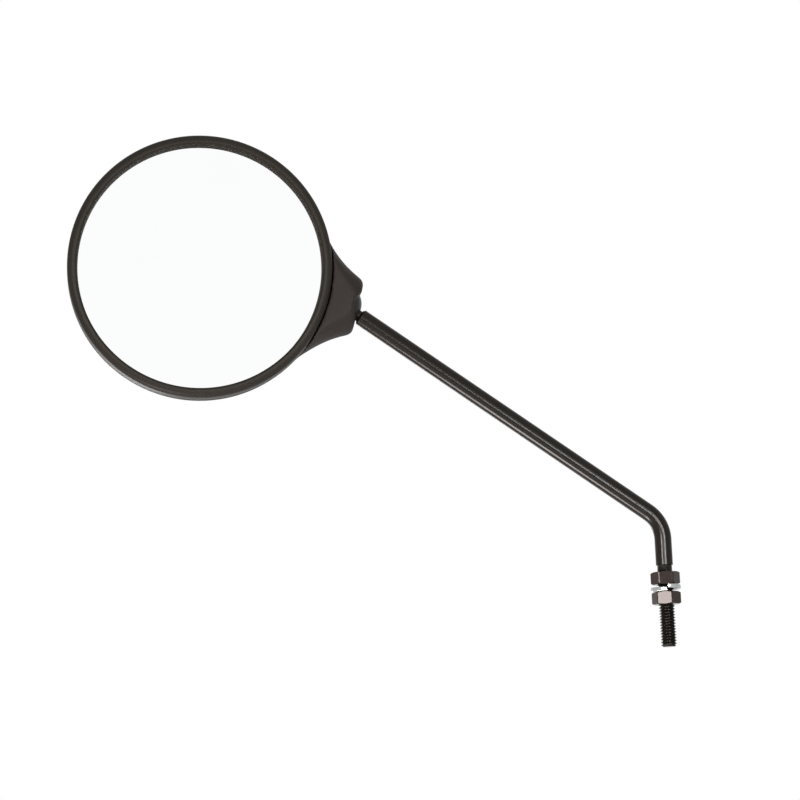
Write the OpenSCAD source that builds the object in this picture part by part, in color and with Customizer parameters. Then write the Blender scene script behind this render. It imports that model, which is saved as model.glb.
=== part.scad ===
// Round motorcycle mirror on a bent stem, with a 5/16-18 stud and a ball joint in the moulded head.
// The stud's axis is Z, with its thread pointing down. The origin lies on that axis at the lower
// face of the lower nut, where the mirror meets what carries it. The glass faces -Y and the head
// stands out towards -X. The stem and the ball's centre lie in the plane Y = 0.

/* [Head] */
// Diameter across the bezel ring
head_d = 130; // [116:1:146]
// Width of the bezel's band, from the outside to the edge of the view
band_w = 4.7; // [4.2:0.1:5.6]
// Radius that rounds the band outwards
band_round = 3.4; // [2.6:0.1:3.8]
// Radius that rounds the band inwards, to the glass
lip_round = 1.3; // [0.6:0.1:1.6]
// Height of the bezel's ridge in front of the ball's centre
front_h = 18; // [17:0.5:20]
// Depth from the ridge down to the glass
lip_depth = 5.2; // [4:0.1:6]
// Thickness of the lip's overlap on the glass's edge, measured along the radius
lip_overlap = 1.9; // [1.4:0.1:2.4]
// Depth of the dome's highest point behind the ball's centre
back_h = 18; // [16:0.5:24]
// Radius of the domed back
dome_r = 160; // [130:5:220]
// Radius between the domed back and the side wall
shoulder_r = 12; // [9:0.5:15]
// Wall of the moulded shell
wall = 2.2; // [1.8:0.1:2.8]
// Height over which the bezel's skirt laps the shell
skirt_lap = 2.6; // [2:0.1:3.2]
// Gap between the bezel's skirt and the boss beside it
skirt_gap = 0.6; // [0.4:0.05:0.8]

/* [Glass] */
// Thickness of the mirror glass
glass_t = 2; // [1.8:0.1:3]
// Radius of the convex glass
glass_curve_r = 1000; // [900:50:1600]
// Thickness of the foam ring and the backing sheet behind the glass
foam_t = 1; // [0.6:0.1:1.4]
// Clearance round the glass
glass_gap = 0.4; // [0.2:0.1:0.6]

/* [Boss] */
// Distance from the head's centre to the ball's centre
ball_reach = 71.7; // [68:0.1:78]
// Distance from the ball's centre to the end face of the boss
boss_end = 8.6; // [8:0.1:9.2]
// Radius of the hollow flanks of the boss
flank_r = 52; // [40:1:70]
// Angle between the boss's axis and the place where a flank leaves the rim
flank_angle = 32; // [28:0.5:36]
// Radius round the boss's end face
end_round = 3.5; // [2:0.1:4.5]
// Height of the boss's flat front in front of the ball's centre
web_h = 14.3; // [13.4:0.1:15.5]
// Depth of the boss's back behind the ball's centre
boss_back = 14.3; // [13.2:0.1:16]
// Radius across the rounded back of the boss
fairing_r = 40; // [34:1:50]
// Slope with which the back of the boss runs into the dome
fairing_tilt = 2.1; // [1:0.1:4]
// Diameter of the mouth that the neck of the stem passes
mouth_d = 14.4; // [13.8:0.1:15]
// Radius of the hollow across the end face
notch_r = 10; // [9:0.5:14]
// Depth of the hollow across the end face
notch_depth = 2.4; // [1:0.1:2.6]

/* [Ball joint] */
// Diameter of the ball
ball_d = 20.5; // [19.6:0.1:21]
// Clearance between the ball and its seats
ball_gap = 0.05; // [0.03:0.01:0.08]
// Clearance of the passage through which the ball is put in
passage_gap = 0.15; // [0.1:0.05:0.3]
// Outer diameter of the pressure cup
cup_d = 16.4; // [15.6:0.1:17]
// Width of the step between the cup's front edge and the ball, measured along the boss
cup_land = 0.7; // [0.4:0.1:1]
// Thickness of the cup behind the ball
cup_floor = 2.3; // [1.6:0.1:3]
// Hole through the middle of the cup
cup_hole_d = 4; // [3:0.1:5]
// Length of the collar that centres the spring
collar_l = 2.2; // [1.4:0.1:3]
// Outer diameter of the spring
spring_d = 11.4; // [10.4:0.1:12]
// Diameter of the spring's wire
spring_wire = 1.4; // [1:0.1:1.6]
// Length of the spring in place
spring_l = 9; // [8:0.5:11]
// Turns of the spring
spring_turns = 4.5; // [3.5:0.5:5]
// Thickness of the washer behind the spring
seat_t = 1; // [0.8:0.1:1.4]
// Diameter of the washer behind the spring
seat_d = 14; // [12.6:0.2:15]

/* [Bracket] */
// Thickness of the bracket's sheet
plate_t = 1.5; // [1:0.1:2]
// Width of the bracket's upright
upright_w = 16; // [14:0.5:18]
// Height of the upright above the ball's centre
upright_top = 7; // [6.5:0.1:7.5]
// Height of the screw posts' faces below the ball's centre
post_drop = 6.3; // [6.2:0.1:6.8]
// Distance of the screws from the upright
screw_back = 5; // [4.5:0.1:6]
// Distance between the two screws
screw_pitch = 25; // [24:0.5:30]
// Clearance between the bracket and the shell beside it
bracket_clear = 0.5; // [0.3:0.1:1]
// Diameter of the screws' shanks
screw_d = 2.9; // [2.4:0.1:3]
// Diameter of the screws' heads
screw_head_d = 5.4; // [4.8:0.1:5.8]
// Length of the screws under the head
screw_l = 4.8; // [4:0.1:5]
// Diameter of the posts
post_d = 7; // [6:0.1:8]

/* [Stem] */
// Diameter of the rod
rod_d = 8.4; // [8:0.1:9]
// Angle of the bend
bend_angle = 53; // [40:1:65]
// Radius of the bend on the rod's axis
bend_r = 17.3; // [14:0.5:26]
// Length from the corner of the bend to the ball's centre
stem_run = 191.2; // [150:1:230]
// Height of the corner of the bend above the lower nut's lower face
corner_h = 40.9; // [38:0.5:60]
// Distance between the ball's centre and the rod's end
rod_gap = 11.1; // [10.9:0.1:13]
// Width of the chamfer round the rod's end
rod_chamfer = 0.95; // [0.5:0.05:1.2]
// Diameter of the neck that carries the ball
pin_d = 5.6; // [5:0.1:6]
// Diameter of the waist that holds the ball on its neck
waist_d = 4.2; // [3.6:0.1:4.6]
// Length of the neck past the ball's centre
pin_past = 5; // [4:0.5:6]
// Angle below the horizontal at which the boss's axis stands
head_droop = 15.7; // [14:0.1:30]

/* [Stud and fasteners] */
// Diameter over the stud's thread
stud_d = 7.94; // [7.84:0.02:8]
// Length of the stud below the lower nut
stud_l = 20.8; // [16:0.2:35]
// Chamfer at the stud's end
stud_chamfer = 0.9; // [0.5:0.1:1.2]
// Diameter of the unthreaded neck above the nuts
neck_d = 7.3; // [7:0.05:7.4]
// Length of the neck between the upper nut and the rod
neck_l = 3.3; // [2:0.1:5]
// Clearance between the nuts and the stud
nut_gap = 0.05; // [0.02:0.01:0.08]
// Width across the nuts' flats
nut_af = 12.7; // [12.4:0.1:13]
// Height of each nut
nut_h = 6.2; // [5.8:0.1:6.8]
// Turn of the upper nut about the stud
upper_nut_turn = -3; // [-30:1:30]
// Turn of the lower nut about the stud
lower_nut_turn = -14; // [-30:1:30]
// Outer diameter of the spring washer
washer_d = 14.8; // [14:0.1:15]
// Inner diameter of the spring washer
washer_hole_d = 8.3; // [8.2:0.1:8.6]
// Thickness of the spring washer
washer_t = 2; // [1.6:0.1:2.2]
// Height of the spring washer as it lies between the nuts
washer_h = 3.5; // [2.6:0.1:4]
// Angle that the split in the washer takes
washer_split = 5; // [3:1:12]

/* [Hidden] */
$fn = 96;

// Amount by which a cutting shape passes the face that it opens
over = 1;
// Clearance between faces of two bodies that meet
face_gap = 0.05;
// Degrees between the points of a drawn arc
arc_step = 5;

head_r = head_d / 2;
view_r = head_r - band_w;
ball_r = ball_d / 2;
rod_r = rod_d / 2;
boss_reach = ball_reach + boss_end;

// Heights in the head, counted forward from the ball's centre
glass_front = front_h - lip_depth;
glass_back = glass_front - glass_t;
ledge_h = glass_back - foam_t;
skirt_base = ledge_h - skirt_lap;
skirt_r = view_r + lip_overlap + glass_gap;
rim_r = skirt_r - glass_gap / 2;
bead_r = 0.4;
bead_h = skirt_base + 0.4 * skirt_lap;
bead_stop = 9;
hollow_r = rim_r - 2;

// Places along the boss's axis, counted from the head's centre
seat_r = ball_r + ball_gap;
passage_r = ball_r + passage_gap;
cup_r = cup_d / 2;
cup_front = ball_reach - sqrt(seat_r * seat_r - cup_r * cup_r) - cup_land;
cup_back = ball_reach - seat_r - cup_floor;
spring_front = cup_back - face_gap;
spring_back = spring_front - spring_l;
collar_r = spring_d / 2 - spring_wire - 0.2;
upright_front = spring_back - seat_t;
upright_back = upright_front - plate_t;
screw_x = upright_back - screw_back;
foot_back = screw_x - 4.2;
foot_w = screw_pitch + post_d;
passage_start = upright_front - 4;

// The stem
bend_leg = bend_r * tan(bend_angle / 2);
arc_base = corner_h - bend_leg;
arm_l = stem_run - bend_leg;
pivot_x = -stem_run * sin(bend_angle);
pivot_z = corner_h + stem_run * cos(bend_angle);
washer_gap = washer_h + 2 * face_gap;
upper_nut_base = nut_h + washer_gap;
neck_base = upper_nut_base + nut_h;
neck_top = neck_base + neck_l;

// Points of an arc about a centre, from one angle to another
function arc(centre, r, from, to) =
    let (steps = max(2, ceil(abs(to - from) / arc_step)))
    [for (i = [0 : steps]) let (a = from + (to - from) * i / steps)
        [centre[0] + r * cos(a), centre[1] + r * sin(a)]];

// Half section of a dish: domed floor, rounded shoulder and straight wall up to a height
function dish_section(side_r, floor_h, floor_r, corner_r, top) =
    let (c = floor_r - floor_h)
    let (corner_x = side_r - corner_r)
    let (drop = sqrt(pow(floor_r - corner_r, 2) - corner_x * corner_x))
    let (meet = -acos(corner_x / (floor_r - corner_r)))
    concat(
        arc([0, c], floor_r, -90, meet),
        arc([corner_x, c - drop], corner_r, meet, 0),
        [[side_r, top], [0, top]]
    );

// A tube of equal rings of points, closed at both ends
module swept(rings) {
    n = len(rings);
    m = len(rings[0]);
    sides = [for (i = [0 : n - 2]) for (j = [0 : m - 1]) let (k = (j + 1) % m)
        each [
            [i * m + j, i * m + k, (i + 1) * m + k],
            [i * m + j, (i + 1) * m + k, (i + 1) * m + j]
        ]];
    caps = [[for (j = [m - 1 : -1 : 0]) j], [for (j = [0 : m - 1]) (n - 1) * m + j]];
    polyhedron(points = [for (ring = rings) each ring], faces = concat(sides, caps));
}

// The head is drawn with its glass facing up and the boss along X, and is then put in its place
module at_head() {
    translate([pivot_x, 0, pivot_z])
        rotate([0, head_droop, 0])
            rotate([90, 0, 0])
                translate([-ball_reach, 0, 0])
                    children();
}

// Turns a shape drawn round Z so that it stands round the boss's axis
module round_boss_axis() {
    rotate([0, 90, 0])
        children();
}

// The straight stretch of the rod above the bend, drawn along Z from the end of the bend
module at_arm() {
    translate([-bend_r + bend_r * cos(bend_angle), 0, arc_base + bend_r * sin(bend_angle)])
        rotate([0, -bend_angle, 0])
            children();
}

// Half outline of the boss: it leaves the rim along a hollow flank and ends in a rounded face
function boss_outline() =
    let (flank = [(head_r + flank_r) * cos(flank_angle), (head_r + flank_r) * sin(flank_angle)])
    let (end_x = boss_reach - end_round)
    let (end_y = flank[1] - sqrt(pow(flank_r + end_round, 2) - pow(flank[0] - end_x, 2)))
    let (meet = atan2(flank[1] - end_y, flank[0] - end_x))
    concat(
        [[0, 0]],
        arc(flank, flank_r, 180 + flank_angle, 180 + meet),
        arc([end_x, end_y], end_round, meet, 0),
        [[boss_reach, 0]]
    );

// The boss: round about its axis, flat in front, and sloping into the dome behind
module boss_blank() {
    intersection() {
        round_boss_axis()
            rotate_extrude()
                polygon([for (p = boss_outline()) [p[1], p[0]]]);
        translate([boss_reach + over, 0, fairing_r - boss_back])
            rotate([0, fairing_tilt - 90, 0])
                cylinder(r = fairing_r, h = boss_reach + over);
        translate([0, -head_r, -head_r])
            cube([boss_reach + over, head_d, head_r + web_h]);
    }
}

// Low ribs that stiffen the dome from inside
module dome_ribs() {
    rib_t = 1.4;
    rib_h = 2.5;
    rib_count = 6;
    inner_r = dome_r - wall;
    centre_h = dome_r - back_h;
    intersection() {
        difference() {
            translate([0, 0, -back_h + wall / 2])
                cylinder(r = 0.72 * hollow_r, h = back_h);
            translate([0, 0, centre_h])
                sphere(r = inner_r - rib_h);
        }
        translate([0, 0, centre_h])
            sphere(r = inner_r + wall / 2);
        union() {
            for (i = [0 : rib_count - 1])
                rotate([0, 0, (i + 0.5) * 360 / rib_count])
                    translate([0, -rib_t / 2, -back_h])
                        cube([head_r, rib_t, back_h]);
            translate([0, 0, -back_h])
                difference() {
                    cylinder(r = 9, h = back_h);
                    cylinder(r = 9 - rib_t, h = back_h);
                }
        }
    }
}

// Posts for the bracket's screws, standing on the inside of the dome
module screw_posts() {
    for (side = [-1, 1])
        translate([screw_x, side * screw_pitch / 2, -back_h])
            cylinder(d = post_d, h = back_h - post_drop);
}

// The outer form of the shell, without its hollow
module shell_blank() {
    rotate_extrude()
        polygon(dish_section(head_r, back_h, dome_r, shoulder_r, skirt_base));
    difference() {
        boss_blank();
        translate([0, 0, skirt_base])
            cylinder(r = head_r + skirt_gap, h = front_h);
    }
}

// Bead that holds the bezel on the shell; it stops short of the room for the ball
module snap_bead(r) {
    rotate([0, 0, bead_stop])
        rotate_extrude(angle = 360 - 2 * bead_stop)
            translate([r, bead_h])
                circle(r = bead_r, $fn = 24);
}

// Ring that carries the foam and the glass, with a bead that holds the bezel
module shell_rim() {
    translate([0, 0, skirt_base - over])
        cylinder(r = rim_r, h = ledge_h - skirt_base + over);
    snap_bead(rim_r);
}

// Room for the ball and the bracket: a passage from the hollow, a round seat and the mouth
module ball_room() {
    translate([passage_start, 0, 0])
        round_boss_axis()
            cylinder(r = passage_r, h = ball_reach - passage_start);
    translate([ball_reach, 0, 0])
        sphere(r = seat_r);
    translate([ball_reach, 0, 0])
        round_boss_axis()
            cylinder(d = mouth_d, h = boss_end + over);
    translate([boss_reach - notch_depth + notch_r, 0, -head_r])
        cylinder(r = notch_r, h = head_d);
    translate([foot_back - bracket_clear, -foot_w / 2 - bracket_clear, -post_drop])
        cube([
            upright_front - foot_back + 2 * bracket_clear,
            foot_w + 2 * bracket_clear,
            post_drop + upright_top + bracket_clear
        ]);
}

// Moulded shell: domed back, side wall, boss with the ball's seat, ribs and screw posts
module head_shell() {
    color([0.13, 0.125, 0.115])
        at_head()
            difference() {
                union() {
                    difference() {
                        union() {
                            shell_blank();
                            shell_rim();
                        }
                        rotate_extrude()
                            polygon(dish_section(hollow_r, back_h - wall, dome_r - wall,
                                shoulder_r - wall, ledge_h + over));
                    }
                    intersection() {
                        screw_posts();
                        rotate_extrude()
                            polygon(dish_section(hollow_r + wall / 2, back_h - wall / 2,
                                dome_r - wall / 2, shoulder_r - wall / 2, ledge_h));
                    }
                    dome_ribs();
                }
                ball_room();
                for (side = [-1, 1])
                    translate([screw_x, side * screw_pitch / 2, -post_drop - screw_l + plate_t - 0.3])
                        cylinder(d = screw_d + 0.1, h = screw_l + over);
            }
}

// Half section of the bezel ring: rounded band, lip over the glass and skirt round the shell
function bezel_section() =
    let (round_x = head_r - band_round)
    concat(
        [[head_r, skirt_base]],
        arc([round_x, front_h - band_round], band_round, 0, 90),
        arc([view_r + lip_round, front_h - lip_round], lip_round, 90, 180),
        [[view_r + 0.1, glass_front], [skirt_r, glass_front], [skirt_r, skirt_base]]
    );

// Bezel ring, snapped on the shell: it holds the glass and is notched where the ball sits
module bezel_ring() {
    notch_w = 14;
    notch_top = passage_r - 1;
    color([0.15, 0.145, 0.13])
        at_head()
            difference() {
                rotate_extrude()
                    polygon(bezel_section());
                snap_bead(skirt_r);
                translate([view_r, -notch_w / 2, skirt_base - over])
                    cube([2 * band_w, notch_w, notch_top - skirt_base + over]);
            }
}

// Points of the convex curve from the axis out to a radius; it passes a height at the view's edge
function bulge(out_to, at_h) =
    let (steps = 12)
    [for (i = [0 : steps]) let (x = out_to * i / steps)
        [x, at_h + sqrt(pow(glass_curve_r, 2) - x * x) - sqrt(pow(glass_curve_r, 2) - view_r * view_r)]];

// The same points from the outside in
function reversed(points) = [for (i = [len(points) - 1 : -1 : 0]) points[i]];

// Convex mirror glass, silvered behind, with a flat land round its back
module mirror_glass() {
    edge_r = skirt_r - glass_gap;
    color([0.9, 0.92, 0.93])
        at_head()
            rotate_extrude()
                polygon(concat(
                    bulge(edge_r, glass_front),
                    [[edge_r, glass_back]],
                    reversed(bulge(view_r, glass_back))
                ));
}

// Foam ring on the shell's rim, on which the glass lies
module glass_gasket() {
    color([0.2, 0.2, 0.2])
        at_head()
            translate([0, 0, ledge_h])
                difference() {
                    cylinder(r = rim_r - 0.1, h = foam_t);
                    translate([0, 0, -over])
                        cylinder(r = hollow_r + 0.1, h = foam_t + 2 * over);
                }
}

// Sheet on the back of the glass, which keeps broken glass together
module backing_sheet() {
    color([0.3, 0.3, 0.28])
        at_head()
            rotate_extrude()
                polygon(concat(
                    bulge(hollow_r - 0.3, glass_back - foam_t),
                    reversed(bulge(hollow_r - 0.3, glass_back))
                ));
}

// The neck of the stem inside the ball, with the waist that holds the ball; gap widens it all round
module ball_pin(gap) {
    waist_l = ball_r / 2 + 1;
    translate([0, 0, -rod_gap])
        cylinder(d = pin_d + 2 * gap, h = rod_gap - waist_l + 1 + gap);
    translate([0, 0, -rod_gap])
        cylinder(d = waist_d + 2 * gap, h = rod_gap + pin_past + gap);
    translate([0, 0, 1 - gap])
        cylinder(d = pin_d + 2 * gap, h = pin_past - 1 + 2 * gap);
}

// Ball moulded round the neck of the stem, on which it turns
module pivot_ball() {
    color([0.1, 0.1, 0.1])
        at_arm()
            translate([0, 0, arm_l])
                difference() {
                    sphere(d = ball_d);
                    ball_pin(ball_gap);
                }
}

// Cup that presses the ball into its seat
module pressure_cup() {
    color([0.85, 0.84, 0.8])
        at_head()
            difference() {
                translate([cup_back, 0, 0])
                    round_boss_axis() {
                        cylinder(d = cup_d, h = cup_front - cup_back);
                        translate([0, 0, -collar_l])
                            cylinder(r = collar_r, h = collar_l + cup_floor / 2);
                    }
                translate([ball_reach, 0, 0])
                    sphere(r = seat_r);
                translate([cup_back - collar_l - over, 0, 0])
                    round_boss_axis()
                        cylinder(d = cup_hole_d, h = cup_d);
            }
}

// Coil spring behind the cup, with closed end turns
module cup_spring() {
    steps_per_turn = 20;
    wire_sides = 8;
    coil_r = (spring_d - spring_wire) / 2;
    steps = spring_turns * steps_per_turn;
    climb = spring_l - spring_wire;
    end_pitch = spring_wire + 0.05;
    pitch = (climb - 2 * end_pitch) / (spring_turns - 2);
    function height(t) = spring_wire / 2 + end_pitch * min(t, 1)
        + pitch * max(0, min(t, spring_turns - 1) - 1)
        + end_pitch * max(0, t - spring_turns + 1);
    color([0.6, 0.6, 0.62])
        at_head()
            translate([spring_back, 0, 0])
                round_boss_axis()
                    swept([for (i = [0 : steps]) let (t = i / steps_per_turn) let (a = 360 * t)
                        [for (j = [0 : wire_sides - 1]) let (b = -360 * j / wire_sides)
                            let (r = coil_r + spring_wire / 2 * cos(b))
                            [r * cos(a), r * sin(a), height(t) + spring_wire / 2 * sin(b)]]]);
}

// Washer between the spring and the bracket, with a rim that centres the spring
module spring_seat() {
    color([0.65, 0.65, 0.67])
        at_head()
            translate([upright_front, 0, 0])
                round_boss_axis()
                    difference() {
                        union() {
                            cylinder(d = seat_d, h = seat_t);
                            cylinder(r = collar_r, h = seat_t + collar_l / 2);
                        }
                        translate([0, 0, -over])
                            cylinder(r = collar_r - 1.2, h = seat_t + collar_l + 2 * over);
                    }
}

// Bent sheet bracket: an upright behind the spring and a foot on the screw posts
module spring_bracket() {
    foot_top = plate_t - post_drop;
    gusset_t = 1.5;
    color([0.7, 0.7, 0.68])
        at_head()
            difference() {
                union() {
                    translate([upright_back, -upright_w / 2, -post_drop])
                        cube([plate_t, upright_w, upright_top + post_drop]);
                    translate([foot_back, -foot_w / 2, -post_drop])
                        cube([upright_front - foot_back, foot_w, plate_t]);
                    for (side = [-1, 1])
                        translate([upright_back, side * (upright_w - gusset_t) / 2 + gusset_t / 2, 0])
                            rotate([90, 0, 0])
                                linear_extrude(gusset_t)
                                    polygon([
                                        [0, foot_top], [0, foot_top + 7], [-6, foot_top]
                                    ]);
                }
                for (side = [-1, 1])
                    translate([screw_x, side * screw_pitch / 2, -post_drop - over])
                        cylinder(d = screw_d + 0.5, h = plate_t + 2 * over);
            }
}

// Pan-head screw with a cross recess, drawn down from its head's lower face
module bracket_screw() {
    head_h = 1.9;
    recess_w = 0.8;
    recess_l = 3;
    color([0.55, 0.55, 0.55])
        difference() {
            union() {
                intersection() {
                    cylinder(d = screw_head_d, h = head_h);
                    translate([0, 0, head_h - screw_head_d])
                        sphere(r = screw_head_d);
                }
                translate([0, 0, -screw_l])
                    cylinder(d = screw_d, h = screw_l + head_h / 2);
            }
            for (a = [0, 90])
                rotate([0, 0, a])
                    translate([-recess_l / 2, -recess_w / 2, head_h - 1])
                        cube([recess_l, recess_w, 2]);
        }
}

// A bracket screw in its place, on one side of the boss's axis
module placed_screw(side) {
    at_head()
        translate([screw_x, side * screw_pitch / 2, plate_t - post_drop])
            bracket_screw();
}

// Bent steel rod with the ball's neck at one end and the stud at the other
module stem() {
    // The bend is a hair thicker than the rod, whose straight ends run a little way into it
    lap = 0.3;
    bend_swell = 0.04;
    color([0.12, 0.105, 0.095]) {
        translate([0, 0, -stud_l])
            cylinder(d1 = stud_d - 2 * stud_chamfer, d2 = stud_d, h = stud_chamfer);
        translate([0, 0, stud_chamfer - stud_l])
            cylinder(d = stud_d, h = stud_l - stud_chamfer);
        cylinder(d = neck_d, h = neck_top);
        translate([0, 0, neck_top])
            cylinder(d = rod_d, h = arc_base - neck_top + lap);
        translate([-bend_r, 0, arc_base])
            rotate([90, 0, 0])
                rotate_extrude(angle = bend_angle)
                    translate([bend_r, 0])
                        circle(d = rod_d + bend_swell);
        at_arm() {
            translate([0, 0, -lap])
                cylinder(d = rod_d, h = arm_l - rod_gap - rod_chamfer + lap);
            translate([0, 0, arm_l - rod_gap - rod_chamfer])
                cylinder(d1 = rod_d, d2 = rod_d - 2 * rod_chamfer, h = rod_chamfer);
            translate([0, 0, arm_l])
                ball_pin(0);
        }
    }
}

// Hexagon nut with both ends chamfered, standing on Z = 0
module hex_nut() {
    corner_r = nut_af / 2 / cos(30) - 0.2;
    face_r = nut_af / 2 - 0.15;
    slope_h = (corner_r - face_r) * tan(30);
    difference() {
        intersection() {
            cylinder(d = nut_af / cos(30), h = nut_h, $fn = 6);
            rotate_extrude()
                polygon([
                    [0, 0], [face_r, 0], [corner_r, slope_h],
                    [corner_r, nut_h - slope_h], [face_r, nut_h], [0, nut_h]
                ]);
        }
        translate([0, 0, -over])
            cylinder(d = neck_d + 2 * nut_gap, h = nut_h + 2 * over);
    }
}

module upper_nut() {
    color([0.14, 0.115, 0.105])
        translate([0, 0, upper_nut_base])
            rotate([0, 0, upper_nut_turn])
                hex_nut();
}

module lower_nut() {
    color([0.2, 0.16, 0.15])
        rotate([0, 0, lower_nut_turn])
            hex_nut();
}

// Split spring washer: one turn of a flat bar that climbs from its left end to its right one
module spring_washer() {
    steps = 48;
    turn = 360 - washer_split;
    climb = washer_h - washer_t;
    inner = washer_hole_d / 2;
    outer = washer_d / 2;
    color([0.75, 0.78, 0.78])
        translate([0, 0, nut_h + face_gap])
            swept([for (i = [0 : steps])
                let (a = -90 + washer_split / 2 + turn * i / steps)
                let (z = climb * (1 - i / steps))
                [
                    [inner * cos(a), inner * sin(a), z],
                    [inner * cos(a), inner * sin(a), z + washer_t],
                    [outer * cos(a), outer * sin(a), z + washer_t],
                    [outer * cos(a), outer * sin(a), z]
                ]]);
}

head_shell();
bezel_ring();
mirror_glass();
glass_gasket();
backing_sheet();
pivot_ball();
pressure_cup();
cup_spring();
spring_seat();
spring_bracket();
placed_screw(1);  // upper_bracket_screw
placed_screw(-1);  // lower_bracket_screw
stem();
upper_nut();
spring_washer();
lower_nut();
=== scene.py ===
# %% [markdown]
# # A round motorcycle mirror, dressed
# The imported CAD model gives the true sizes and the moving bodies. This notebook adds what a camera
# sees: smooth skins, a cut thread, rounded edges, finishes, light and the camera. Every length in
# metres is in the CAD's own frame: the stud points down -Z from the origin and the glass faces -Y.

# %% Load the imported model
import math

import bmesh
import bpy
import numpy as np
from mathutils import Matrix, Vector


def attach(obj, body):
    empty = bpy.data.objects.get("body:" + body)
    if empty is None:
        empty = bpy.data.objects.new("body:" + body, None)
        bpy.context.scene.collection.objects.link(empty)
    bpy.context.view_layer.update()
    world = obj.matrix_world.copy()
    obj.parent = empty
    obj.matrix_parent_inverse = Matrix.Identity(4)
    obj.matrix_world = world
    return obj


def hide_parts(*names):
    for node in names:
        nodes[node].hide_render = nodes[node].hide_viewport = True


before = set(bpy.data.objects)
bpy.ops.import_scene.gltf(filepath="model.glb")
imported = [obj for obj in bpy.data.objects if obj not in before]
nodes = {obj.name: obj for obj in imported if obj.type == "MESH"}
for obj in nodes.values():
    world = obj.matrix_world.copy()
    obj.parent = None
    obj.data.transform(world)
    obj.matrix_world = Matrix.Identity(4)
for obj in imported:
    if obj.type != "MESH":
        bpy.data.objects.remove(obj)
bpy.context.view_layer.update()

MM = 0.001

# %% [markdown]
# ## Sizes that the dressed pieces share with the CAD
# A dressed piece must lie exactly where its CAD node lies. The sizes that several pieces need are
# written once here, in millimetres, and those of a single piece stand beside it. Their names follow
# the CAD source's.

# %% Shared sizes
PIVOT = Vector((-152.699, 0, 155.967))
HEAD_DROOP = 15.7
BALL_REACH = 71.7
ARC_BASE = 32.2745
BEND_R = 17.3
BEND_ANGLE = 53
ARM_L = 182.5745
ROD_R = 4.2
STUD_R = 3.97
STUD_L = 20.8
NECK_R = 3.65
NECK_TOP = 19.3
NUT_AF = 12.7
NUT_H = 6.2
UPPER_NUT_BASE = 9.8
UPPER_NUT_TURN, LOWER_NUT_TURN = -3, -14

head_place = (
    Matrix.Translation(PIVOT * MM)
    @ Matrix.Rotation(math.radians(HEAD_DROOP), 4, "Y")
    @ Matrix.Rotation(math.radians(90), 4, "X")
    @ Matrix.Translation((-BALL_REACH * MM, 0, 0))
)
print("head centre, mm:", [round(v / MM, 2) for v in head_place.translation])


# %% Objects in and out of the scene
def put_in_scene(name, data):
    """A new object at the origin, linked to the scene."""
    made = bpy.data.objects.new(name, data)
    bpy.context.scene.collection.objects.link(made)
    return made


def baked(holder):
    """A plain mesh of an object with its modifiers applied; the object itself is removed."""
    bpy.context.view_layer.update()
    evaluated = holder.evaluated_get(bpy.context.evaluated_depsgraph_get())
    mesh = bpy.data.meshes.new_from_object(evaluated)
    bpy.data.objects.remove(holder)
    return mesh


# %% [markdown]
# ## The camera
# The photograph is a product shot through a long lens. The foreshortening of the round head and the
# small ellipses of the nuts say that it was taken 4 degrees from the left and 7 degrees from below,
# with the object hung 3 degrees off the vertical. The camera is built from those three angles, the
# scale and the stud's place in the photograph.

# %% Camera
PIXEL_MM = 0.4915
IMAGE_PX = 800
STUD_PX = (666.8, 604.5)
FROM_LEFT, FROM_BELOW, ROLL = (math.radians(a) for a in (4.0, 7.0, 3.0))
CAMERA_FAR = 2.5
SENSOR_MM = 36

level_right = Vector((math.cos(FROM_LEFT), -math.sin(FROM_LEFT), 0))
to_camera = Vector((
    -math.sin(FROM_LEFT) * math.cos(FROM_BELOW),
    -math.cos(FROM_LEFT) * math.cos(FROM_BELOW),
    -math.sin(FROM_BELOW),
))
level_up = to_camera.cross(level_right)
right = level_right * math.cos(ROLL) - level_up * math.sin(ROLL)
up = level_right * math.sin(ROLL) + level_up * math.cos(ROLL)
across = (IMAGE_PX / 2 - STUD_PX[0]) * PIXEL_MM * MM
rise = (STUD_PX[1] - IMAGE_PX / 2) * PIXEL_MM * MM
middle = right * across + up * rise

camera = put_in_scene("camera", bpy.data.cameras.new("camera"))
facing = Matrix((right, up, to_camera)).transposed().to_4x4()
camera.matrix_world = Matrix.Translation(middle + to_camera * CAMERA_FAR) @ facing
camera.data.sensor_width = SENSOR_MM
camera.data.lens = SENSOR_MM * CAMERA_FAR / (IMAGE_PX * PIXEL_MM * MM)
camera.data.clip_end = 50
bpy.context.scene.camera = camera
print("lens, mm:", round(camera.data.lens, 1))

# %% [markdown]
# ## Node maths as Python
# A finish is a small network of nodes, and so is a shape grown by Geometry Nodes. Wrapping each
# socket in a class lets an expression such as `0.3 + 0.1 * grain` add its own Math nodes, which
# keeps both readable. One method, shared by the two kinds of tree, makes every other node.


# %% A socket that does arithmetic
class Wire:
    def __init__(self, graph, socket):
        self.graph, self.socket = graph, socket

    def _math(self, operation, first, second):
        return self.graph.node("ShaderNodeMath", {"operation": operation}, {0: first, 1: second})

    def __add__(self, other): return self._math("ADD", self, other)
    def __radd__(self, other): return self._math("ADD", other, self)
    def __sub__(self, other): return self._math("SUBTRACT", self, other)
    def __rsub__(self, other): return self._math("SUBTRACT", other, self)
    def __mul__(self, other): return self._math("MULTIPLY", self, other)
    def __rmul__(self, other): return self._math("MULTIPLY", other, self)
    def __truediv__(self, other): return self._math("DIVIDE", self, other)
    def __rtruediv__(self, other): return self._math("DIVIDE", other, self)
    def at_most(self, other): return self._math("MINIMUM", self, other)
    def at_least(self, other): return self._math("MAXIMUM", self, other)
    def cosine(self): return self._math("COSINE", self, 0)
    def sine(self): return self._math("SINE", self, 0)


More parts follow.
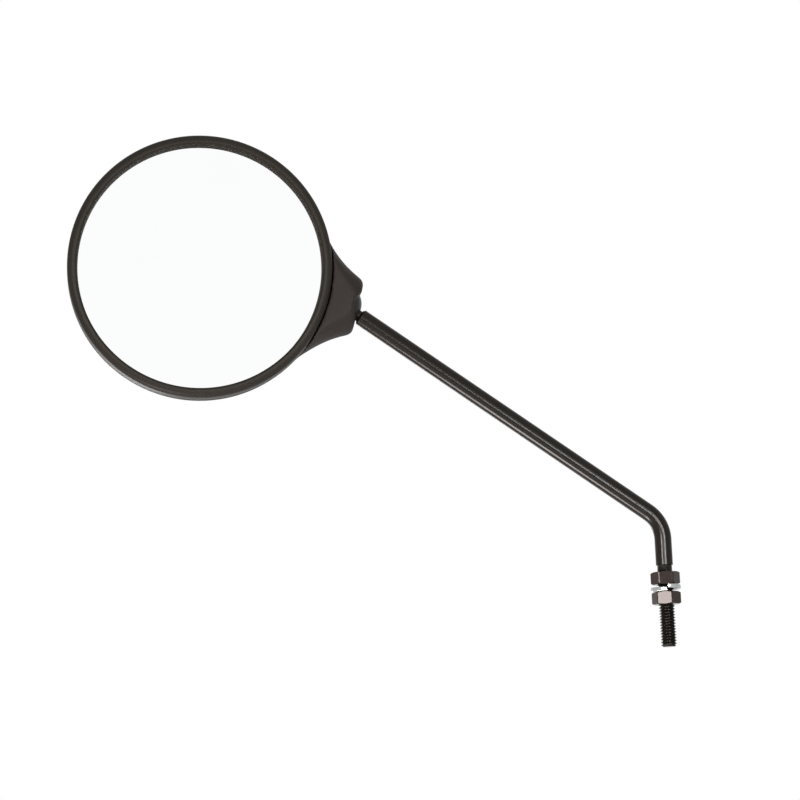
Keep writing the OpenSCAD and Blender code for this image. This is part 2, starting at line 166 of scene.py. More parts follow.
# %% Any tree of nodes
class Graph:
    def node(self, kind, settings, sockets, out=0):
        made = self.tree.nodes.new(kind)
        for name, value in settings.items():
            setattr(made, name, value)
        for name, value in sockets.items():
            if isinstance(value, Wire):
                self.tree.links.new(value.socket, made.inputs[name])
            else:
                made.inputs[name].default_value = value
        return Wire(self, made.outputs[out])

    def blend(self, factor, first, second):
        """Mixes two colours, each given as (red, green, blue)."""
        return self.node("ShaderNodeMix", {"data_type": "RGBA"}, {
            0: factor, 6: (*first, 1), 7: (*second, 1),
        }, 2)


# %% A finish: one material and the nodes behind it
class Finish(Graph):
    def __init__(self, name, **fixed):
        self.material = bpy.data.materials.new(name)
        self.material.use_nodes = True
        self.tree = self.material.node_tree
        self.skin = self.tree.nodes["Principled BSDF"]
        for socket, value in fixed.items():
            self.skin.inputs[socket.replace("_", " ")].default_value = value
        self.place = self.node("ShaderNodeTexCoord", {}, {}, "Object")

    def noise(self, per_metre, detail):
        return self.node("ShaderNodeTexNoise", {}, {
            "Vector": self.place, "Scale": per_metre, "Detail": detail,
        })

    def bump(self, height, depth_mm, strength):
        relief = self.node("ShaderNodeBump", {}, {
            "Height": height, "Distance": depth_mm * MM, "Strength": strength,
        })
        self.feed("Normal", relief)

    def feed(self, socket, wire):
        self.tree.links.new(wire.socket, self.skin.inputs[socket])


# %% [markdown]
# ## Studio: white room, pale floor, soft lamps
# The object floats in front of white, so the world is white for camera, glossy and transmitted rays
# and a softer grey for diffuse light. The floor lies well below, out of the photograph's frame, and
# catches a shadow in the other views. Three small lamps near the camera and one low on the left
# draw the thin streaks that run along the stem, and the left one lights a flat of the lower nut.
# The larger, weaker ones round the head off, above, at the lower left and behind it.


# %% World
WHITE, BLACK = (1, 1, 1), (0, 0, 0)
DIFFUSE_GREY = (0.36, 0.36, 0.37)


def seen_rays(graph):
    """1 where the camera, a reflection or clear material looks, and 0 for diffuse light."""
    camera_rays = graph.node("ShaderNodeLightPath", {}, {}, "Is Camera Ray")
    kinds = camera_rays.socket.node.outputs
    glossy_rays = Wire(graph, kinds["Is Glossy Ray"])
    clear_rays = Wire(graph, kinds["Is Transmission Ray"])
    return camera_rays.at_least(glossy_rays).at_least(clear_rays)


world = bpy.data.worlds.new("studio")
bpy.context.scene.world = world
world.use_nodes = True
sky = Graph()
sky.tree = world.node_tree
room = sky.blend(seen_rays(sky), DIFFUSE_GREY, WHITE)
sky.tree.links.new(room.socket, sky.tree.nodes["Background"].inputs["Color"])
bpy.context.scene.view_settings.view_transform = "Standard"

# %% Floor
FLOOR_Z = -0.62
FLOOR_REACH = 6
PAPER_GLOW = 0.6

corners = [(x * FLOOR_REACH, y * FLOOR_REACH, FLOOR_Z) for x, y in ((-1, -1), (1, -1), (1, 1), (-1, 1))]
floor_mesh = bpy.data.meshes.new("floor")
floor_mesh.from_pydata(corners, [], [(0, 1, 2, 3)])
floor = put_in_scene("floor", floor_mesh)
paper = Finish("floor_paper", Base_Color=(0.9, 0.9, 0.9, 1), Roughness=0.9, Emission_Strength=1)
paper.feed("Emission Color", paper.blend(seen_rays(paper) * PAPER_GLOW, BLACK, WHITE))
floor_mesh.materials.append(paper.material)


# %% Lamps
LAMP_AIM = middle + Vector((0.06, 0, -0.03))


def lamp(name, toward, far, wide, high, radiance, colour=WHITE):
    """An area lamp, with its sizes in metres, that lies towards (right, up, to the camera)."""
    way = (level_right * toward[0] + level_up * toward[1] + to_camera * toward[2]).normalized()
    light = bpy.data.lights.new(name, "AREA")
    light.shape = "RECTANGLE"
    light.size, light.size_y = wide, high
    light.energy = radiance * math.pi * wide * high
    light.color = colour
    holder = put_in_scene(name, light)
    aimed = way.to_track_quat("Z", "Y").to_matrix().to_4x4()
    holder.matrix_world = Matrix.Translation(LAMP_AIM + way * far) @ aimed
    holder.visible_camera = False
    print(name, "energy, W:", round(light.energy, 2))


# Name, direction, distance, width, height, radiance and, where it isn't white, colour
lamp("lamp_front", (0.135, 0.092, 0.985), 1.9, 0.3, 0.2, 74)
lamp("lamp_right", (0.38, 0.2, 0.91), 1.9, 0.3, 0.34, 66)
lamp("lamp_left", (-0.355, 0.2, 0.91), 1.9, 0.5, 0.36, 47, (1, 0.88, 0.84))
lamp("lamp_low", (-0.566, -0.747, 0.35), 0.75, 0.3, 0.16, 40, (1, 0.92, 0.9))
lamp("lamp_top", (0.1, 0.9, 0.45), 1.8, 1.0, 0.7, 1.6)
lamp("lamp_soft", (-0.66, -0.52, 0.54), 1.9, 0.8, 0.8, 24, (1, 0.97, 0.92))
lamp("lamp_back", (-0.5, -0.45, -0.74), 1.9, 1.0, 0.8, 6)

# %% [markdown]
# ## Finishes
# The head is moulded in black plastic with the fine grain of a spark-eroded mould, the stem and
# the nuts carry a dark brown-black coating, and the split washer is bright zinc. The pieces inside
# the head are plain springs, screws and engineering plastic.


# %% Black moulded plastic
GRAIN_MM = 0.005


def moulded_plastic(name, dark, pale, roughness, specular):
    """The point attribute lip, where a mesh has it, makes the plastic dull."""
    finish = Finish(name, Specular_IOR_Level=specular)
    haze = finish.noise(38, 4)
    finish.feed("Base Color", finish.blend(haze, dark, pale))
    scuff = finish.noise(420, 6)
    lip = finish.node("ShaderNodeAttribute", {"attribute_name": "lip"}, {}, "Fac")
    finish.feed("Roughness", (roughness - 0.05 + 0.1 * scuff + lip).at_most(1))
    grain = finish.noise(5200, 2)
    finish.bump(grain, GRAIN_MM, 0.3)
    return finish.material


shell_plastic = moulded_plastic(
    "shell_plastic", (0.0135, 0.0115, 0.0105), (0.0185, 0.0155, 0.014), roughness=0.5, specular=0.04,
)
bezel_plastic = moulded_plastic(
    "bezel_plastic", (0.0105, 0.0092, 0.0075), (0.0145, 0.0128, 0.0102), roughness=0.42, specular=0.06,
)
ball_plastic = moulded_plastic(
    "ball_plastic", (0.01, 0.01, 0.0085), (0.015, 0.015, 0.013), roughness=0.3, specular=0.1,
)


# %% Coated steel and plated steel
def coated_steel(name, dark, pale, roughness, metallic, specular=0.5, peel_mm=0.004):
    finish = Finish(name, Metallic=metallic, Specular_IOR_Level=specular)
    mottle = finish.noise(160, 5)
    finish.feed("Base Color", finish.blend(mottle, dark, pale))
    orange_peel = finish.noise(500, 2)
    finish.feed("Roughness", roughness - 0.02 + 0.04 * finish.noise(45, 2))
    finish.bump(orange_peel, peel_mm, 0.25)
    return finish.material


stem_coating = coated_steel(
    "stem_coating", (0.0045, 0.0035, 0.0025), (0.007, 0.0055, 0.004),
    roughness=0.2, metallic=0.0, specular=0.13, peel_mm=0.0008,
)
nut_coating = coated_steel(
    "nut_coating", (0.013, 0.0085, 0.007), (0.019, 0.0125, 0.01),
    roughness=0.06, metallic=0.0, specular=0.14, peel_mm=0.0008,
)
zinc_plate = coated_steel("zinc_plate", (0.34, 0.36, 0.35), (0.43, 0.45, 0.44), 0.24, 1.0)
plain_steel = coated_steel("plain_steel", (0.5, 0.5, 0.51), (0.64, 0.64, 0.64), 0.34, 1.0)
spring_steel = coated_steel("spring_steel", (0.4, 0.4, 0.42), (0.55, 0.55, 0.57), 0.3, 1.0)


# %% Mirror glass, foam, backing sheet and cup
def mirror_finish():
    finish = Finish("mirror_glass", Metallic=1.0)
    film = finish.noise(24, 3)
    finish.feed("Base Color", finish.blend(film, (0.955, 0.965, 0.96), (0.975, 0.98, 0.978)))
    finish.feed("Roughness", 0.008 + 0.012 * film)
    return finish.material


def soft_sheet(name, dark, pale, per_metre, depth_mm):
    finish = Finish(name, Roughness=0.85)
    cells = finish.noise(per_metre, 4)
    finish.feed("Base Color", finish.blend(cells, dark, pale))
    finish.bump(cells, depth_mm, 0.6)
    return finish.material


mirror_glass = mirror_finish()
foam = soft_sheet("foam", (0.05, 0.05, 0.05), (0.1, 0.1, 0.1), 1800, 0.08)
backing_plastic = soft_sheet("backing_plastic", (0.26, 0.26, 0.245), (0.33, 0.33, 0.31), 260, 0.02)
cup_plastic = moulded_plastic(
    "cup_plastic", (0.74, 0.73, 0.69), (0.82, 0.81, 0.77), roughness=0.3, specular=0.5,
)

# %% Give each CAD node its finish
node_finishes = {
    "head_shell": shell_plastic, "bezel_ring": bezel_plastic, "mirror_glass": mirror_glass,
    "glass_gasket": foam, "backing_sheet": backing_plastic, "pivot_ball": ball_plastic,
    "pressure_cup": cup_plastic, "cup_spring": spring_steel, "spring_seat": plain_steel,
    "spring_bracket": plain_steel, "upper_bracket_screw": plain_steel,
    "lower_bracket_screw": plain_steel, "stem": stem_coating, "upper_nut": nut_coating,
    "spring_washer": zinc_plate, "lower_nut": nut_coating,
}
for name, material in node_finishes.items():
    nodes[name].data.materials.clear()
    nodes[name].data.materials.append(material)
print("finishes:", len(set(m.name for m in node_finishes.values())))

# %% [markdown]
# ## Building skins from rings
# Turned and drawn pieces are best thought of as rings of points joined one to the next. One helper
# joins the rings, given in millimetres, for a thread, a nut or a washer. A second one ends every
# dressed piece: it merges points that fall together, marks the sharp edges and gives the finish.


# %% Points and rings
def polar(r, angle, z):
    return (r * math.cos(angle), r * math.sin(angle), z)


def circle(r, z, count):
    return [polar(r, math.tau * j / count, z) for j in range(count)]


def arc(centre, r, start, stop, steps):
    angles = [math.radians(start + (stop - start) * i / steps) for i in range(steps + 1)]
    return [(centre[0] + r * math.cos(a), centre[1] + r * math.sin(a)) for a in angles]


def mesh_from_mm(name, points, faces):
    mesh = bpy.data.meshes.new(name)
    mesh.from_pydata([Vector(p) * MM for p in points], [], faces)
    return mesh


def ring_mesh(name, rings, step=0, closed=False):
    """Joins equal rings of points; a ring's end may meet a later ring's start, as on a helix."""
    count, last = len(rings[0]), len(rings) - 1
    faces = []
    for i in range(last):
        for j in range(count):
            here, beyond = i * count + j, (i + 1) * count + j
            if j + 1 < count:
                faces.append((here, here + 1, beyond + 1, beyond))
            elif i + 1 + step <= last:
                faces.append((here, (i + step) * count, (i + 1 + step) * count, beyond))
    end = [last * count + j for j in range(count)]
    if closed:
        faces += [(end[j], end[(j + 1) % count], (j + 1) % count, j) for j in range(count)]
    elif step == 0:
        faces += [tuple(reversed(range(count))), tuple(end)]
    return mesh_from_mm(name, [p for ring in rings for p in ring], faces)


# %% The last step of every dressed piece
def finish_piece(name, mesh, material, body, replaced, sharp_degrees=35):
    solid = bmesh.new()
    solid.from_mesh(mesh)
    bmesh.ops.remove_doubles(solid, verts=solid.verts, dist=2e-6)
    bmesh.ops.recalc_face_normals(solid, faces=solid.faces)
    solid.to_mesh(mesh)
    solid.free()
    mesh.shade_smooth()
    mesh.set_sharp_from_angle(angle=math.radians(sharp_degrees))
    mesh.materials.clear()
    mesh.materials.append(material)
    piece = put_in_scene(name, mesh)
    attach(piece, body)
    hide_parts(replaced)
    print(name, "faces:", len(mesh.polygons))
    return piece


# %% [markdown]
# ## The stem with its cut thread
# The stem is one steel rod: stud, neck, bend, long arm and the pin inside the ball. The thread is a
# helix, so each ring of the stud climbs by one pitch and its end meets the start of the ring that
# lies one pitch higher. Real threads fade out at the neck and at the end chamfer, and so does this.

# %% Stud with its thread
THREAD_PITCH = 1.4111
THREAD_DEPTH = 0.86
AROUND = 72
THREAD_TOP = UPPER_NUT_BASE + NUT_H
CHAMFER = 0.9
# Each point is (share of the pitch, share of the depth), from one crest to the next
THREAD_FORM = [(0, 1), (0.1, 1), (0.32, 0.5), (0.54, 0.04), (0.6, 0), (0.66, 0.04), (0.88, 0.5)]


def thread_radius(depth_share, z):
    r = STUD_R - THREAD_DEPTH * (1 - depth_share)
    r = min(r, STUD_R - CHAMFER + (z + STUD_L))
    r = min(r, NECK_R + max(THREAD_TOP - z, 0))
    return max(r, NECK_R - 0.5 * (THREAD_TOP - z))


turns = math.ceil((THREAD_TOP + STUD_L) / THREAD_PITCH) + 2
per_turn = len(THREAD_FORM)
stud_rings = []
for k in range(turns * per_turn):
    along, share = THREAD_FORM[k % per_turn]
    ring = []
    for j in range(AROUND):
        z = -STUD_L + THREAD_PITCH * (k // per_turn + along - 1 + j / AROUND)
        z = min(max(z, -STUD_L), THREAD_TOP)
        ring.append(polar(thread_radius(share, z), math.tau * j / AROUND, z))
    stud_rings.append(ring)

print("thread turns:", turns, "rings:", len(stud_rings))

# %% Rod: neck, shoulder, bend and arm
BEND_STEPS = 32
ROD_END = ARM_L - 11.1
ROD_CHAMFER = 0.95
PIN_R, WAIST_R = 2.8, 2.1
WAIST_FROM, WAIST_TO = ARM_L - 5.125, ARM_L + 1
PIN_END = ARM_L + 5
SOFT = 0.1  # a small edge break, in mm

shoulder = [
    (NECK_R, THREAD_TOP), (NECK_R, NECK_TOP - 1.5 * SOFT), (NECK_R + SOFT, NECK_TOP),
    (ROD_R - 2 * SOFT, NECK_TOP + SOFT / 2), (ROD_R, NECK_TOP + 2.5 * SOFT),
]
arm_end = [
    (ROD_R, ROD_END - ROD_CHAMFER - 1.5 * SOFT), (ROD_R, ROD_END - ROD_CHAMFER),
    (ROD_R - 0.06, ROD_END - 0.88), (ROD_R - 0.9, ROD_END - SOFT / 2), (ROD_R - 1, ROD_END),
    (PIN_R + SOFT, ROD_END), (PIN_R, ROD_END + SOFT), (PIN_R, WAIST_FROM),
    (WAIST_R, WAIST_FROM), (WAIST_R, WAIST_TO), (PIN_R, WAIST_TO),
    (PIN_R, PIN_END - 3 * SOFT), (PIN_R - 3 * SOFT, PIN_END),
]


def bent(degrees, ring):
    """A ring carried round the bend by so many degrees."""
    to_centre = Matrix.Translation((-BEND_R, 0, ARC_BASE))
    place = to_centre @ Matrix.Rotation(-math.radians(degrees), 4, "Y") @ Matrix.Translation((BEND_R, 0, 0))
    return [tuple(place @ Vector(p)) for p in ring]


rod_rings = [circle(r, z, AROUND) for r, z in shoulder]
rod_rings += [
    bent(BEND_ANGLE * i / BEND_STEPS, circle(ROD_R, 0, AROUND)) for i in range(BEND_STEPS + 1)
]
rod_rings += [bent(BEND_ANGLE, circle(r, z, AROUND)) for r, z in arm_end]


# %% Stud and rod as one skin
def on_level(points, z):
    """Whether all the points lie at one height, given in mm."""
    return all(abs(v.co.z - z * MM) < 1e-6 for v in points)


stud_mesh = ring_mesh("threaded_stem", stud_rings, step=per_turn)
rod_mesh = ring_mesh("rod", rod_rings)
both = bmesh.new()
both.from_mesh(stud_mesh)
both.from_mesh(rod_mesh)
inner = [f for f in both.faces if len(f.verts) == AROUND and on_level(f.verts, THREAD_TOP)]
bmesh.ops.delete(both, geom=inner, context="FACES_ONLY")
bmesh.ops.remove_doubles(both, verts=both.verts, dist=2e-6)
ends = [e for e in both.edges if e.is_boundary and on_level(e.verts, -STUD_L)]
bmesh.ops.contextual_create(both, geom=ends)
print("open edges on the stem:", sum(1 for e in both.edges if not e.is_manifold))
both.to_mesh(stud_mesh)
both.free()
finish_piece("threaded_stem", stud_mesh, stem_coating, "stem", "stem", 40)

# %% [markdown]
# ## Nuts
# A pressed hexagon nut is a prism whose corners are turned off by a 30 degree cone at both ends,
# which leaves the curved edges that show on each flat. At every angle the wall's radius is that of
# the hexagon, and it ends where the cone cuts it, so the curves come by themselves.


# %% Hexagon nuts
NUT_STEPS = 144
NUT_BORE, NUT_MOUTH, NUT_FACE = 3.7, 4.25, NUT_AF / 2 - 0.12
NUT_CORNER = NUT_AF / 2 / math.cos(math.pi / 6) - 0.1
CONE_SLOPE = math.tan(math.radians(30))
EDGE = 0.03  # the break of the turned corner's edge, in mm


def nut_section(wall):
    """The closed section of a nut where its wall has this radius."""
    cut = (wall - NUT_FACE) * CONE_SLOPE
    deep = NUT_MOUTH - NUT_BORE
    lower = [
        (NUT_BORE, deep), (NUT_MOUTH, 0), (NUT_FACE, 0), (wall - EDGE, cut - 0.02), (wall, cut + 0.05),
    ]
    upper = [(r, NUT_H - z) for r, z in reversed(lower)]
    return lower + [(wall, NUT_H / 2)] + upper + [(NUT_BORE, NUT_H / 2)]


def nut_rings(base, turn):
    columns = []
    for j in range(NUT_STEPS):
        a = math.tau * j / NUT_STEPS
        from_flat = a % (math.pi / 3) - math.pi / 6
        wall = min(NUT_AF / 2 / math.cos(from_flat), NUT_CORNER)
        columns.append([polar(r, a + turn, z + base) for r, z in nut_section(wall)])
    return [list(row) for row in zip(*columns)]


nuts = (("upper_nut", UPPER_NUT_BASE, UPPER_NUT_TURN), ("lower_nut", 0, LOWER_NUT_TURN))
for name, base, turn in nuts:
    mesh = ring_mesh("hex_" + name, nut_rings(base, math.radians(turn)), closed=True)
    finish_piece("hex_" + name, mesh, nut_coating, "stem", name, 12)

# %% [markdown]
# ## Split spring washer
# The washer is one turn of square wire. Its ends stand apart, one high and one low, and the wire's
# edges are rounded from rolling.

# %% Split washer
WASHER_IN, WASHER_OUT, WASHER_T, WASHER_H, SPLIT = 4.15, 7.4, 2.0, 3.5, 5
WASHER_BASE = NUT_H + 0.05
WASHER_STEPS = 96
WIRE_ROUND = 0.28


def washer_section():
    near, far = WASHER_IN + WIRE_ROUND, WASHER_OUT - WIRE_ROUND
    low, high = WIRE_ROUND, WASHER_T - WIRE_ROUND
    centres = ((near, low), (near, high), (far, high), (far, low))
    starts = (270, 180, 90, 0)
    return [
        p for centre, start in zip(centres, starts) for p in arc(centre, WIRE_ROUND, start, start - 90, 3)
    ]


def washer_rings():
    rings = []
    for i in range(WASHER_STEPS + 1):
        a = math.radians(-90 + SPLIT / 2 + (360 - SPLIT) * i / WASHER_STEPS)
        lift = WASHER_BASE + (WASHER_H - WASHER_T) * (1 - i / WASHER_STEPS)
        rings.append([polar(r, a, z + lift) for r, z in washer_section()])
    return rings


washer_mesh = ring_mesh("split_washer", washer_rings())
finish_piece("split_washer", washer_mesh, zinc_plate, "stem", "spring_washer")

# %% [markdown]
# ## Bezel ring and glass
# Both are turned shapes: a section carried round the head's axis. The bezel's band is rounded
# outwards and tucks in over the glass, and its skirt is notched where the ball lies behind it.

# %% Sections of the bezel and the glass
AROUND_HEAD = 288
HEAD_R, VIEW_R, SKIRT_R, GLASS_R = 65, 60.3, 62.6, 62.2
BAND_ROUND, LIP_ROUND = 3.4, 1.3
FRONT_H, GLASS_FRONT, GLASS_BACK, SKIRT_BASE = 18, 12.8, 10.8, 7.2
GLASS_CURVE_R = 1000
BREAK = 0.15  # the mould's edge break, in mm
GRIND = 0.3  # the glass's ground edge, in mm

bezel_section = (
    [(SKIRT_R + BREAK, SKIRT_BASE), (HEAD_R - BREAK, SKIRT_BASE), (HEAD_R, SKIRT_BASE + BREAK)]
    + arc((HEAD_R - BAND_ROUND, FRONT_H - BAND_ROUND), BAND_ROUND, 0, 90, 14)
    + arc((VIEW_R + LIP_ROUND, FRONT_H - LIP_ROUND), LIP_ROUND, 90, 180, 8)
    + [(VIEW_R + 0.1, GLASS_FRONT + 0.1), (VIEW_R + 0.2, GLASS_FRONT)]
    + [(SKIRT_R, GLASS_FRONT), (SKIRT_R, SKIRT_BASE + BREAK)]
)


def bulge(x):
    """How far the convex curve stands out over its height at the edge of the view."""
    return math.sqrt(GLASS_CURVE_R ** 2 - x * x) - math.sqrt(GLASS_CURVE_R ** 2 - VIEW_R ** 2)


glass_steps = [0.01, 4] + [8 * i for i in range(1, 8)] + [VIEW_R]
ground_r = GLASS_R - 0.25
glass_section = (
    [(x, GLASS_BACK + bulge(x)) for x in glass_steps]
    + [(GLASS_R - GRIND, GLASS_BACK), (GLASS_R, GLASS_BACK + GRIND), (GLASS_R, GLASS_FRONT - 0.4)]
    + [(ground_r, GLASS_FRONT + bulge(ground_r))]
    + [(x, GLASS_FRONT + bulge(x)) for x in reversed(glass_steps)]
)
print("points in the sections:", len(bezel_section), len(glass_section))


# %% A section carried round the head's axis
def turned_mesh(name, section):
    n, m = AROUND_HEAD, len(section)
    points = [polar(r, math.tau * i / n, z) for i in range(n) for r, z in section]
    faces = []
    for i in range(n):
        here, beyond = i * m, (i + 1) % n * m
        faces += [(here + j, beyond + j, beyond + (j + 1) % m, here + (j + 1) % m) for j in range(m)]
    return mesh_from_mm(name, points, faces)


# %% Bezel ring with its notch
NOTCH_W = 14
NOTCH_BASE, NOTCH_TOP = SKIRT_BASE - 1, 9.4
BAND_W = HEAD_R - VIEW_R
LIP_REACH = 61.2
LIP_DULL = 0.6


def cut_box(mesh, low, high):
    """Takes a box, in mm, out of a closed mesh."""
    knife_mesh = bpy.data.meshes.new("knife")
    box = bmesh.new()
    bmesh.ops.create_cube(box, size=1)
    for v in box.verts:
        v.co = Vector([low[i] + (v.co[i] + 0.5) * (high[i] - low[i]) for i in range(3)]) * MM
    box.to_mesh(knife_mesh)
    box.free()
    knife = put_in_scene("knife", knife_mesh)
    target = put_in_scene("target", mesh)
    cut = target.modifiers.new("cut", "BOOLEAN")
    cut.operation, cut.solver, cut.object = "DIFFERENCE", "EXACT", knife
    result = baked(target)
    bpy.data.objects.remove(knife)
    return result


notch_low = (VIEW_R, -NOTCH_W / 2, NOTCH_BASE)
notch_high = (VIEW_R + 2 * BAND_W, NOTCH_W / 2, NOTCH_TOP)
bezel_mesh = cut_box(turned_mesh("bezel", bezel_section), notch_low, notch_high)
lip = bezel_mesh.attributes.new("lip", "FLOAT", "POINT")
for v, mark in zip(bezel_mesh.vertices, lip.data):
    mark.value = LIP_DULL if math.hypot(v.co.x, v.co.y) < LIP_REACH * MM else 0.0
bezel_mesh.transform(head_place)
finish_piece("rounded_bezel", bezel_mesh, bezel_plastic, "head", "bezel_ring", 30)

# %% Glass
glass_mesh = turned_mesh("glass", glass_section)
glass_mesh.transform(head_place)
finish_piece("ground_glass", glass_mesh, mirror_glass, "head", "mirror_glass", 30)

# %% [markdown]
# ## The moulded head
# A mould has no knife edges: where the boss's flat front, hollow flanks and rounded back meet each
# other and the dome, the plastic runs over in a small radius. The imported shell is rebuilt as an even
# net of small faces, and the net is relaxed where those surfaces meet. The rim under the bezel, the
# ball's seat and the inside are eased only a little, so their edges stay crisp.

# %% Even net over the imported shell
NET_MM = 0.77

shell_copy = nodes["head_shell"].data.copy()
loose = bmesh.new()
loose.from_mesh(shell_copy)
bmesh.ops.remove_doubles(loose, verts=loose.verts, dist=1e-6)
loose.to_mesh(shell_copy)
loose.free()
shell_copy.transform(head_place.inverted())
netted = put_in_scene("shell_copy", shell_copy)
remesh = netted.modifiers.new("net", "REMESH")
remesh.mode, remesh.voxel_size = "VOXEL", NET_MM * MM
net = baked(netted)
print("net faces:", len(net.polygons))


# %% Relax the net where the boss's surfaces meet
BOSS_START = (34, 46)
BALL_BORE = (11.2, 12.4)
RIM = (62, 65.4)
SKIRT_HEIGHTS = (5.2, 6.6)
SKIRT_EDGE = (66.5, 68)
EASE_ALL, EASE_BOSS, EASE_ROUNDS = 0.08, 0.5, 12


def points_of(mesh):
    flat = np.empty(len(mesh.vertices) * 3)
    mesh.vertices.foreach_get("co", flat)
    return flat.reshape(-1, 3) / MM


def ramp(x, start, end):
    """0 up to the start, 1 from the end, and a straight line between the two."""
    return np.clip((x - start) / (end - start), 0, 1)


def relax(mesh, weight, rounds):
    """Moves each point towards the mean of its neighbours, by its own weight."""
    ends = np.empty(len(mesh.edges) * 2, dtype=np.int64)
    mesh.edges.foreach_get("vertices", ends)
    first, second = ends.reshape(-1, 2).T
    count = np.bincount(ends, minlength=len(mesh.vertices))[:, None]
    spots = points_of(mesh)
    for _ in range(rounds):
        total = np.zeros_like(spots)
        for axis in range(3):
            total[:, axis] = np.bincount(first, spots[second, axis], len(spots))
            total[:, axis] += np.bincount(second, spots[first, axis], len(spots))
        spots += weight[:, None] * (total / count - spots)
    mesh.vertices.foreach_set("co", (spots * MM).ravel())


spots = points_of(net)
from_centre = np.hypot(spots[:, 0], spots[:, 1])
from_axis = np.hypot(spots[:, 1], spots[:, 2])
outer_boss = ramp(spots[:, 0], *BOSS_START) * ramp(from_axis, *BALL_BORE) * ramp(from_centre, *RIM)
under_bezel = ramp(spots[:, 2], *SKIRT_HEIGHTS) * (1 - ramp(from_centre, *SKIRT_EDGE))
relax(net, EASE_ALL + EASE_BOSS * outer_boss * (1 - under_bezel), EASE_ROUNDS)
net.transform(head_place)
finish_piece("moulded_shell", net, shell_plastic, "head", "head_shell", 42)

# %% [markdown]
# ## The spring behind the ball, grown from its sizes
# Parts that repeat are grown by Geometry Nodes, whose inputs are the part's real sizes. A coil
# spring is a line bent into a helix: the end turns climb by little more than the wire, so that they
# lie closed, and the free turns share what is left of the length.


# %% A shape tree with named sizes
class ShapeTree(Graph):
    def __init__(self, name, **sizes):
        self.tree = bpy.data.node_groups.new(name, "GeometryNodeTree")
        self.tree.interface.new_socket("Geometry", in_out="OUTPUT", socket_type="NodeSocketGeometry")
        for label, value in sizes.items():
            kind = "NodeSocketInt" if isinstance(value, int) else "NodeSocketFloat"
            socket = self.tree.interface.new_socket(label, in_out="INPUT", socket_type=kind)
            socket.default_value = value
        self.inputs = self.tree.nodes.new("NodeGroupInput")

    def size(self, label):
        return Wire(self, self.inputs.outputs[label])

    def point(self, x, y, z):
        return self.node("ShaderNodeCombineXYZ", {}, {0: x, 1: y, 2: z})

    def close(self, geometry, material):
        plain = self.node("GeometryNodeRealizeInstances", {}, {"Geometry": geometry})
        dressed = self.node("GeometryNodeSetMaterial", {}, {"Geometry": plain, "Material": material})
        self.tree.links.new(dressed.socket, self.tree.nodes.new("NodeGroupOutput").inputs[0])

    def grow(self, name):
        """A plain mesh of the tree's shape."""
        seed = put_in_scene(name, bpy.data.meshes.new(name))
        seed.modifiers.new("shape", "NODES").node_group = self.tree
        return baked(seed)


# %% Coil spring
SPRING_D, SPRING_WIRE, SPRING_L, SPRING_TURNS = 11.4, 1.4, 9.0, 4.5
SPRING_BACK = 50.05
COIL_GAP = 0.05

coil = ShapeTree(
    "closed coil", turns=SPRING_TURNS, coil_radius=(SPRING_D - SPRING_WIRE) / 2 * MM,
    wire_radius=SPRING_WIRE / 2 * MM, length=SPRING_L * MM, steps=260,
)
wire_d = coil.size("wire_radius") * 2
end_pitch = wire_d + COIL_GAP * MM
pitch = (coil.size("length") - wire_d - end_pitch * 2) / (coil.size("turns") - 2)
turn = coil.node("GeometryNodeSplineParameter", {}, {}) * coil.size("turns")
free_turns = (turn.at_most(coil.size("turns") - 1) - 1).at_least(0)
height = (
    coil.size("wire_radius") + end_pitch * turn.at_most(1) + pitch * free_turns
    + end_pitch * (turn - coil.size("turns") + 1).at_least(0)
)
angle, coil_radius = turn * math.tau, coil.size("coil_radius")
spot = coil.point(angle.cosine() * coil_radius, angle.sine() * coil_radius, height)
line = coil.node("GeometryNodeCurvePrimitiveLine", {}, {})
path = coil.node("GeometryNodeResampleCurve", {}, {"Curve": line, "Count": coil.size("steps")})
helix = coil.node("GeometryNodeSetPosition", {}, {"Geometry": path, "Position": spot})
wire = coil.node("GeometryNodeCurvePrimitiveCircle", {}, {
    "Resolution": 16, "Radius": coil.size("wire_radius"),
})
tube = coil.node("GeometryNodeCurveToMesh", {}, {
    "Curve": helix, "Profile Curve": wire, "Fill Caps": True,
})
coil.close(tube, spring_steel)

along_boss = Matrix.Rotation(math.radians(90), 4, "Y")
spring_mesh = coil.grow("coil_spring")
spring_mesh.transform(head_place @ Matrix.Translation((SPRING_BACK * MM, 0, 0)) @ along_boss)
finish_piece("coil_spring", spring_mesh, spring_steel, "head", "cup_spring", 50)

# %% [markdown]
# ## A pair of bracket screws
# One pan-head screw is made from a flat head that a sphere domes, a shank and a cross cut for the
# driver, and two copies are set on the ends of a line. The pair's distance is one of the inputs.

# %% Bracket screws
SCREW_PITCH, SCREW_D, SCREW_HEAD_D, SCREW_HEAD_H, SCREW_L = 25.0, 2.9, 5.4, 1.9, 4.8
SCREW_X, FOOT_TOP = 42.55, -4.8
CROSS_L, CROSS_W, CROSS_H = 3.0, 0.8, 2.0

screws = ShapeTree(
    "bracket screws", pitch=SCREW_PITCH * MM, shank_d=SCREW_D * MM, head_d=SCREW_HEAD_D * MM,
    head_h=SCREW_HEAD_H * MM, length=SCREW_L * MM, count=2,
)


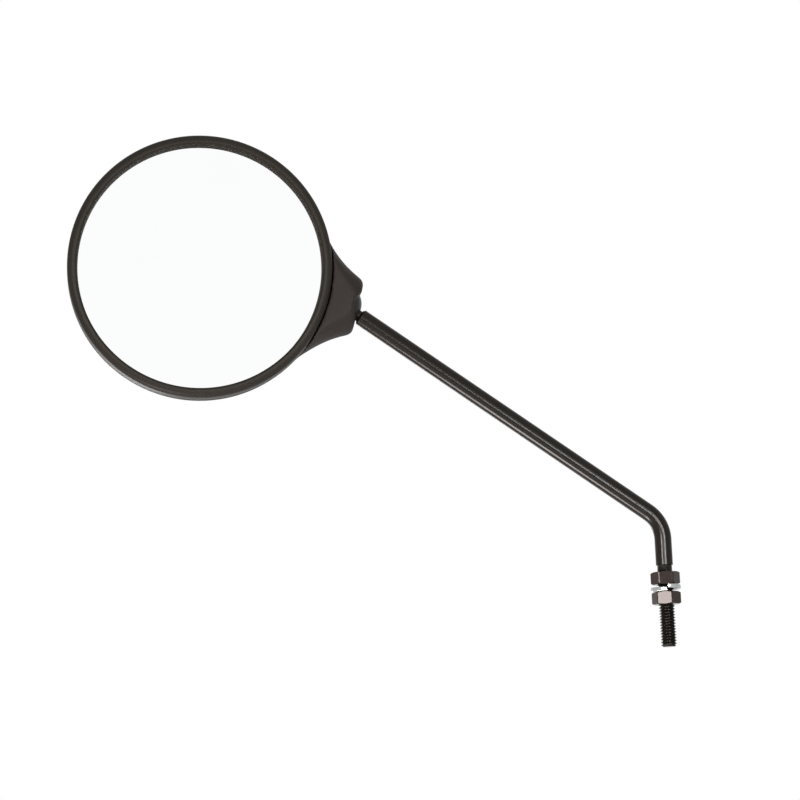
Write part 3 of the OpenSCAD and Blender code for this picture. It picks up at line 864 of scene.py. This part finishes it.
def lifted(solid, height):
    """A solid moved along the screw's axis."""
    return screws.node("GeometryNodeTransform", {}, {
        "Geometry": solid, "Translation": screws.point(0, 0, height),
    })


def screw_solid(kind, low, high, **shape):
    """A primitive set midway between two heights on the screw's axis."""
    return lifted(screws.node(kind, {}, shape), (low + high) / 2)


def both_of(first, second, operation):
    """Joins, cuts or intersects two solids; only a cut has a first solid of its own."""
    made = screws.node("GeometryNodeMeshBoolean", {"operation": operation}, {})
    sockets = made.socket.node.inputs
    screws.tree.links.new(first.socket, sockets["Mesh 1" if operation == "DIFFERENCE" else "Mesh 2"])
    screws.tree.links.new(second.socket, sockets["Mesh 2"])
    return made


head_h, head_d, length = (screws.size(label) for label in ("head_h", "head_d", "length"))
flat_head = screw_solid(
    "GeometryNodeMeshCylinder", 0, head_h, Vertices=48, Radius=head_d / 2, Depth=head_h,
)
dome = screw_solid(
    "GeometryNodeMeshUVSphere", head_h * 2 - head_d * 2, 0, Segments=64, Rings=64, Radius=head_d,
)
shank = screw_solid(
    "GeometryNodeMeshCylinder", 0 - length, head_h / 2, Vertices=32,
    Radius=screws.size("shank_d") / 2, Depth=length + head_h / 2,
)
screw = both_of(both_of(flat_head, dome, "INTERSECT"), shank, "UNION")
for along_x, along_y in ((CROSS_L, CROSS_W), (CROSS_W, CROSS_L)):
    bar = screws.node("GeometryNodeMeshCube", {}, {"Size": (along_x * MM, along_y * MM, CROSS_H * MM)})
    screw = both_of(screw, lifted(bar, head_h), "DIFFERENCE")
places = screws.node("GeometryNodeMeshLine", {}, {
    "Count": screws.size("count"), "Start Location": screws.point(0, screws.size("pitch") / -2, 0),
    "Offset": screws.point(0, screws.size("pitch"), 0),
})
pair = screws.node("GeometryNodeInstanceOnPoints", {}, {"Points": places, "Instance": screw})
screws.close(pair, plain_steel)

screws_mesh = screws.grow("pan_head_screws")
screws_mesh.transform(head_place @ Matrix.Translation((SCREW_X * MM, 0, FOOT_TOP * MM)))
screw_pair = finish_piece(
    "pan_head_screws", screws_mesh, plain_steel, "head", "upper_bracket_screw", 30,
)
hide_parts("lower_bracket_screw")
